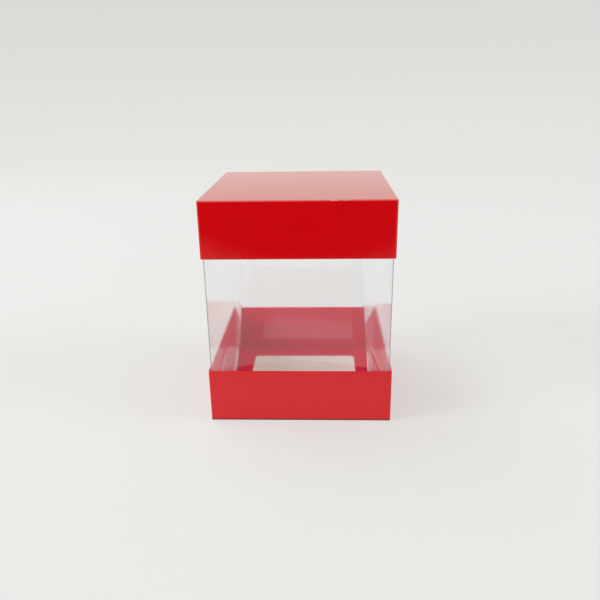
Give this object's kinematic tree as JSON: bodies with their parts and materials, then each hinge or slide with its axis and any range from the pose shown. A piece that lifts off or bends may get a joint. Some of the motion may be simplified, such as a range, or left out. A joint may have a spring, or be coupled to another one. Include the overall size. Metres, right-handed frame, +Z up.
{
  "type": "gift box",
  "caption": "Small upright gift box: a glossy red card tray with a window in its floor, a clear film sleeve with bowed sides and a lift-off red card lid.",
  "frame": {"origin": "centre of the tray's underside, on the table", "axes": "+Z up, -Y towards the front panel that faces the camera, +X to the right seen from the front"},
  "size_m": [0.1, 0.1, 0.1236],
  "materials": {
    "red_card_tray": "glossy laminated red card, red on both faces",
    "clear_film": "thin clear glossy film",
    "red_card_lid": "glossy laminated red card with pale scuffs on its folds"
  },
  "bodies": {
    "base": {"base_tray": "red_card_tray"},
    "sleeve": {"clear_sleeve": "clear_film"},
    "lid": {"lid": "red_card_lid"}
  },
  "joints": [
    {"name": "sleeve_lift", "type": "slide", "parent": "base", "child": "sleeve", "axis": [0, 0, 1], "range_m": [0, 0.06]},
    {"name": "lid_lift", "type": "slide", "parent": "sleeve", "child": "lid", "axis": [0, 0, 1], "range_m": [0, 0.06]}
  ]
}
